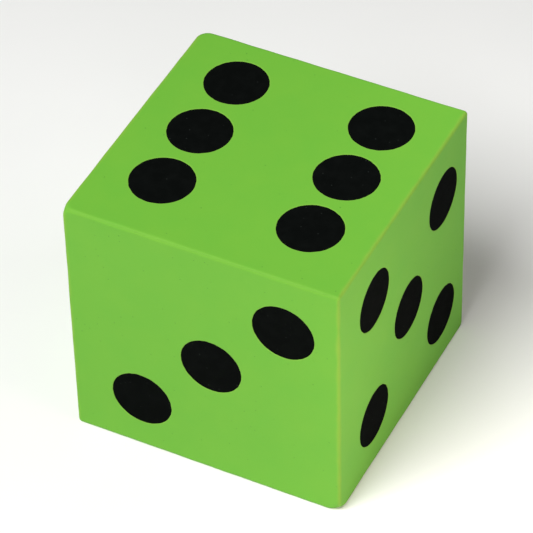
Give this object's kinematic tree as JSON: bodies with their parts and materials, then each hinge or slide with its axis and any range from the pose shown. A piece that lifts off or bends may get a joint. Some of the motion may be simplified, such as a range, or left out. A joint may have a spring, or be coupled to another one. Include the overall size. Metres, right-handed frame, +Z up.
{
  "type": "giant yard die",
  "caption": "Giant soft foam die for lawn games: a green cube of glued foam sheets over a foam core, with rounded edges and flush black round spots on every side.",
  "frame": {"origin": "centre of the footprint, at the level of the floor the die rests on", "axes": "+Z up through the six, -Y out of the three at the front, +X out of the five at the right"},
  "size_m": [0.152, 0.152, 0.152],
  "materials": {
    "green_foam_sheet": "satin matte closed-cell EVA foam, lime green, edges buffed slightly lighter",
    "black_foam_disc": "matte closed-cell EVA foam, black",
    "core_foam": "closed-cell foam, pale grey white, skived flat"
  },
  "bodies": {
    "root": {"core_slab_1": "core_foam", "core_slab_2": "core_foam", "core_slab_3": "core_foam", "face_sheet_one": "green_foam_sheet", "face_sheet_two": "green_foam_sheet", "face_sheet_three": "green_foam_sheet", "face_sheet_four": "green_foam_sheet", "face_sheet_five": "green_foam_sheet", "face_sheet_six": "green_foam_sheet", "spot_one_1": "black_foam_disc", "spot_two_1": "black_foam_disc", "spot_two_2": "black_foam_disc", "spot_three_1": "black_foam_disc", "spot_three_2": "black_foam_disc", "spot_three_3": "black_foam_disc", "spot_four_1": "black_foam_disc", "spot_four_2": "black_foam_disc", "spot_four_3": "black_foam_disc", "spot_four_4": "black_foam_disc", "spot_five_1": "black_foam_disc", "spot_five_2": "black_foam_disc", "spot_five_3": "black_foam_disc", "spot_five_4": "black_foam_disc", "spot_five_5": "black_foam_disc", "spot_six_1": "black_foam_disc", "spot_six_2": "black_foam_disc", "spot_six_3": "black_foam_disc", "spot_six_4": "black_foam_disc", "spot_six_5": "black_foam_disc", "spot_six_6": "black_foam_disc"}
  },
  "joints": []
}
